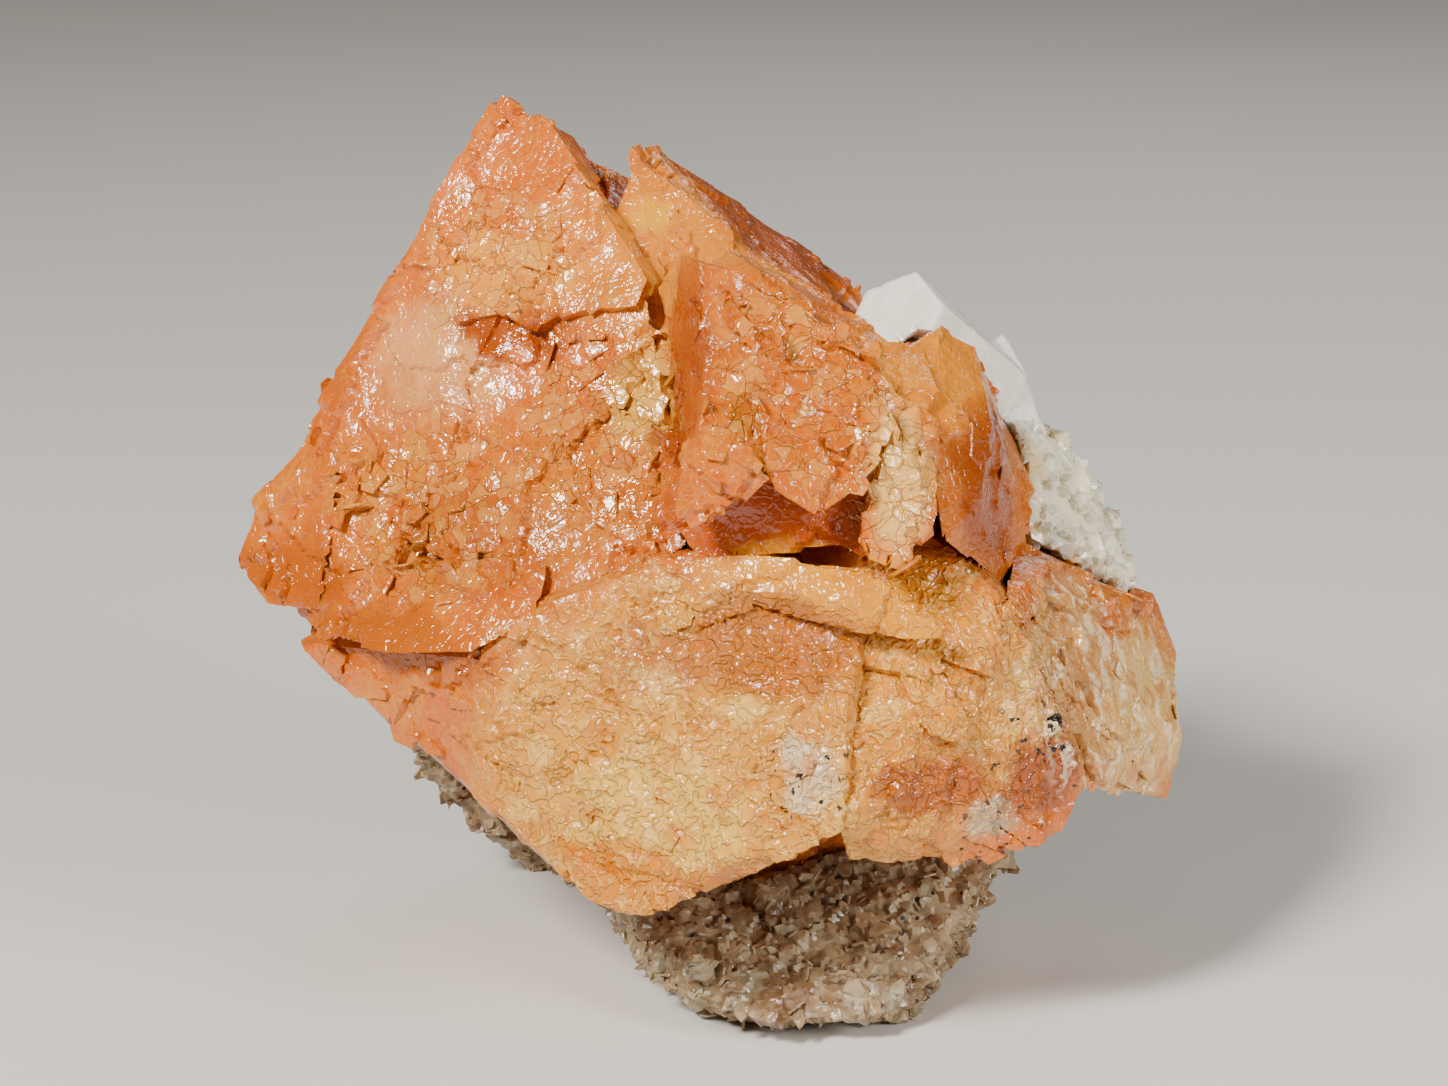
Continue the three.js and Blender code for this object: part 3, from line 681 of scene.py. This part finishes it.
# %% A tree that scatters templates
def scatter_tree(name, templates, look, mask, tilt, stretch):
    """A tree that sets templates on a surface where mask(board, point) is high."""
    board, surface, inputs = geometry_tree(name, "Spacing", "Density", "Smallest", "Largest")
    point = board.in_mm(board.node("GeometryNodeInputPosition"))
    spots = board.node("GeometryNodeDistributePointsOnFaces", {"distribute_method": "POISSON"}, {
        "Mesh": surface,
        "Distance Min": surface.other("Spacing"),
        "Density Max": surface.other("Density"),
        "Density Factor": mask(board, point),
        "Seed": 5,
    }, "Points")
    chance = {"data_type": "FLOAT_VECTOR"}
    half_turn = 3.2
    leans = {0: (-tilt, -tilt, -half_turn), 1: (tilt, tilt, half_turn), "Seed": 7}
    angles = board.node("FunctionNodeRandomValue", chance, leans)
    lean = board.node("FunctionNodeEulerToRotation", {}, [angles])
    about_itself = {"rotation_space": "LOCAL"}
    turned = board.node("FunctionNodeRotateRotation", about_itself, [spots.other("Rotation"), lean])
    between = {2: surface.other("Smallest"), 3: surface.other("Largest"), "Seed": 11}
    size = board.node("FunctionNodeRandomValue", {"data_type": "FLOAT"}, between, 1)
    shape = board.node("FunctionNodeRandomValue", chance, {0: stretch[0], 1: stretch[1], "Seed": 13})
    one_by_one = {"Collection": templates, "Separate Children": True, "Reset Children": True}
    placed = board.node("GeometryNodeInstanceOnPoints", {}, {
        "Points": spots,
        "Instance": board.node("GeometryNodeCollectionInfo", {}, one_by_one),
        "Pick Instance": True,
        "Rotation": turned,
        "Scale": board.scaled(shape, size),
    })
    whole = board.node("GeometryNodeRealizeInstances", {}, {"Geometry": placed})
    clad = board.node("GeometryNodeSetMaterial", {}, {"Geometry": whole, "Material": look})
    board.node("NodeGroupOutput", {}, {"Geometry": clad})
    return board.tree, inputs


def scattered(name, ground, templates, look, mask, spacing, sizes, tilt, stretch):
    """A plain mesh of templates scattered on another piece; spacing and sizes are in mm."""
    tree, inputs = scatter_tree(name + "_scatter", templates, look, mask, tilt, stretch)
    piece = bpy.data.objects.new(name, ground.data.copy())
    bpy.context.scene.collection.objects.link(piece)
    tries_per_spot = 4
    run_tree(
        piece, tree, inputs,
        Spacing=spacing * 0.001,
        Density=tries_per_spot * 1e6 / spacing ** 2,
        Smallest=sizes[0] * 0.001,
        Largest=sizes[1] * 0.001,
    )
    print(name, len(piece.data.polygons), "faces")
    return piece


# %% [markdown]
# ## Where the plates grow
# The plates crowd where the photograph shows crazing and stay off the sugary block. A mask made of the same
# zones decides this, so plates and crazing always meet in the same places.

# %% Plates on the scheelite
def plate_mask(board, point):
    """Many plates in the crazed zones, some elsewhere, none on the sugary block and the clean far crystal."""
    bare = together(board, point, block_zones + clean_zones)
    return (together(board, point, crazed_zones) * 0.5 + 0.05) * (1 - bare)


plate_kinds = flat_templates("growth_plate", 5, (4, 6), 0.07, 3)
plates = scattered(
    "growth_plates", scheelite, plate_kinds, scheelite_look, plate_mask,
    spacing=1.2, sizes=(0.4, 1.7), tilt=0.05, stretch=((0.8, 0.8, 1), (1.4, 1, 1.4)),
)
keep_zones(plates)
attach(plates, "root")

# %% [markdown]
# ## The beryl prism
# One milky six-sided crystal stands behind. Its faces are slightly wavy and it passes light without being
# clear, so its solid is covered densely, waved a little and given strong white scattering.

# %% Beryl
def beryl_height(board, point):
    """Faint waves, and a swelling that closes part of the gap to the scheelite, in mm."""
    swelling = 0.35
    return facets(board, point, 3.0, 0.05, 0.05) + facets(board, point, 1.0, 0.06, 0.0) + swelling


beryl = dense_copy("beryl_prism", "beryl_body", 110)
etch(beryl, beryl_height)


def make_beryl():
    material, board, shader, point = new_material("beryl")
    milk = board.noise(point, 3, 4)
    streak = board.noise(board.vector("MULTIPLY", point, (1, 1, 0.25)), 0.8, 3)
    colour = board.mix(board.band(milk, 0.4, 0.7), paint(240, 236, 226), paint(222, 220, 212))
    colour = board.mix(board.band(streak, 0.55, 0.75) * 0.4, colour, paint(238, 236, 232))
    height = streak * 0.05 + facets(board, point, 1.4, 0.06, 0.01)
    feed(board, shader, Base_Color=colour, Roughness=streak * 0.3 + 0.15, Normal=relief(board, height))
    let_light_in(shader, 1.58, 0.35, (1.0, 0.98, 0.9), 0.002)
    return material


dressed(beryl, make_beryl(), 25)
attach(beryl, "root")
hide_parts("beryl_prism")

# %% [markdown]
# ## The crust of small pale crystals
# Beside the beryl the flank carries a crust of clear to creamy crystals, from sand to lentil size. The bed
# is the etched solid, and stubby many-sided grains are scattered over it, which light passes through.

# %% The bed of the crust
def crust_height(board, point):
    """Blunt crystal ends, and the same swelling as the beryl's, in mm."""
    return facets(board, point, 1.6, 0.4, 0.3) + 0.35


crust = dense_copy("pale_crystal_crust", "crust_bed", 130)
etch(crust, crust_height)


def make_crust():
    material, board, shader, point = new_material("pale_crystals")
    shade = shades(board, point, 1.6)
    colour = board.mix(shade, paint(252, 244, 222), paint(242, 232, 204))
    colour = board.mix(board.band(board.noise(point, 6), 0.45, 0.7), colour, paint(236, 206, 154))
    height = facets(board, point, 0.7, 0.3, 0.04)
    roughness = shade.other("Green") * 0.25 + 0.08
    feed(board, shader, Base_Color=colour, Roughness=roughness, Normal=relief(board, height))
    let_light_in(shader, 1.58, 0.5, (1.0, 0.92, 0.75), 0.002)
    return material


dressed(crust, make_crust(), 25)
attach(crust, "root")
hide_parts("pale_crystal_crust")

# %% Clear grains on the crust
def grain_templates(name, count, seed):
    """Small blocky crystals: the hulls of a few points on a sphere."""
    chance = random.Random(seed)
    collection = bpy.data.collections.new(name)
    for number in range(count):
        working = bmesh.new()
        for _ in range(14):
            turn, rise = chance.uniform(0, 2 * math.pi), chance.uniform(-1, 1)
            flat = math.sqrt(1 - rise * rise)
            place = (flat * math.cos(turn), flat * math.sin(turn), rise * chance.uniform(0.8, 1.2))
            working.verts.new(place)
        hull = bmesh.ops.convex_hull(working, input=working.verts)
        bmesh.ops.delete(working, geom=hull["geom_interior"], context="VERTS")
        keep_template(collection, number, working)
    return collection


def make_clear():
    """Colourless crystal that is seen through, frosted in places."""
    material, board, shader, point = new_material("clear_crystal")
    frost = board.band(board.noise(point, 1.5), 0.4, 0.7)
    colour = board.mix(frost, paint(250, 248, 238), paint(236, 226, 196))
    feed(board, shader, Base_Color=colour, Roughness=frost * 0.3 + 0.04)
    shader.inputs["IOR"].default_value = 1.55
    shader.inputs["Transmission Weight"].default_value = 0.6
    return material


def grain_mask(board, point):
    return board.noise(point, 4, 1)


grain_kinds = grain_templates("clear_grain", 5, 8)
grains = scattered(
    "clear_grains", crust, grain_kinds, make_clear(), grain_mask,
    spacing=0.9, sizes=(0.25, 0.8), tilt=0.6, stretch=((0.7, 0.7, 0.7), (1, 1, 1.5)),
)
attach(grains, "root")

# %% [markdown]
# ## The mica foot
# Muscovite grows in books of thin sheets. From a hand's distance the foot is a heap of grey-tan flakes at
# all angles, a few of which mirror the light. The solid keeps the bulk, etched into stacked sheets, and
# flakes in many sizes cover it in clusters.

# %% The bulk of the foot
def matrix_height(board, point):
    """Stacked sheets in lumps of a few millimetres, in mm."""
    level = shingles(board, point, (0.3, 0.4, 0.86), 2.6)
    steep = shingles(board, point, (0.7, -0.6, -0.3), 4.0)
    sheets = level * 0.5 + steep * 0.5
    return facets(board, point, 3.0, 0.3, 0.5) + facets(board, point, 1.0, 0.35, 0.2) + sheets - 0.2


matrix = dense_copy("muscovite_matrix", "matrix_body", 170)
etch(matrix, matrix_height)


# %% Muscovite material
def make_muscovite():
    material, board, shader, point = new_material("muscovite")
    shade = shades(board, point, 1.2)
    colour = board.mix(shade, paint(124, 100, 74), paint(162, 140, 106))
    colour = board.mix((shade.other("Green") > 0.9) * 0.5, colour, paint(200, 184, 152))
    rusty, greenish = board.noise(point, 5, 3), board.noise(point, 3, 3)
    colour = board.mix(board.band(rusty, 0.50, 0.64) * 0.7, colour, paint(104, 70, 40))
    colour = board.mix(board.band(greenish, 0.45, 0.35) * 0.6, colour, paint(150, 142, 116))
    pocket = patch(board, ragged(board, point, 1.5, 4), (11, -16, 13), (4, 5, 2.5))
    colour = board.mix(pocket * 0.7, colour, paint(170, 88, 40))
    speck = board.cells(point, 1.3)
    luck = board.node("ShaderNodeSeparateColor", {}, [speck.other("Color")])
    colour = board.mix((speck < 0.2) * (luck > 0.86), colour, paint(34, 30, 28))
    height = facets(board, point, 0.8, 0.35, 0.1) + board.noise(point, 0.3) * 0.05
    roughness = shade.other("Blue") * 0.3 + 0.2
    feed(board, shader, Base_Color=colour, Roughness=roughness, Normal=relief(board, height))
    let_light_in(shader, 1.58, 0.15, (1.0, 0.8, 0.6), 0.0015)
    return material


muscovite_look = make_muscovite()
dressed(matrix, muscovite_look, 25)
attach(matrix, "root")
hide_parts("muscovite_matrix")


# %% Mica flakes
def flake_mask(board, point):
    """Flakes in clusters, with bare rock between."""
    return board.band(board.noise(point, 4), 0.38, 0.6) * 0.8


flake_kinds = flat_templates("mica_flake", 5, (5, 6), 0.14, 21)
flakes = scattered(
    "mica_flakes", matrix, flake_kinds, muscovite_look, flake_mask,
    spacing=0.8, sizes=(0.25, 0.95), tilt=0.9, stretch=((0.7, 0.7, 0.7), (1.2, 1, 1.2)),
)
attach(flakes, "root")

# %% [markdown]
# ## Floor
# The specimen stands on a pale matt board, large enough to fill the view behind it.

# %% Floor
def make_floor():
    half = 3.0
    corners = [(-half, -half, 0), (half, -half, 0), (half, half, 0), (-half, half, 0)]
    mesh = bpy.data.meshes.new("floor")
    mesh.from_pydata(corners, [], [(0, 1, 2, 3)])
    material, board, shader, point = new_material("floor_board")
    colour = board.mix(board.noise(point, 300, 3), paint(214, 212, 208), paint(222, 220, 216))
    feed(board, shader, Base_Color=colour)
    shader.inputs["Roughness"].default_value = 0.7
    mesh.materials.append(material)
    floor = bpy.data.objects.new("floor", mesh)
    bpy.context.scene.collection.objects.link(floor)
    return floor


make_floor()
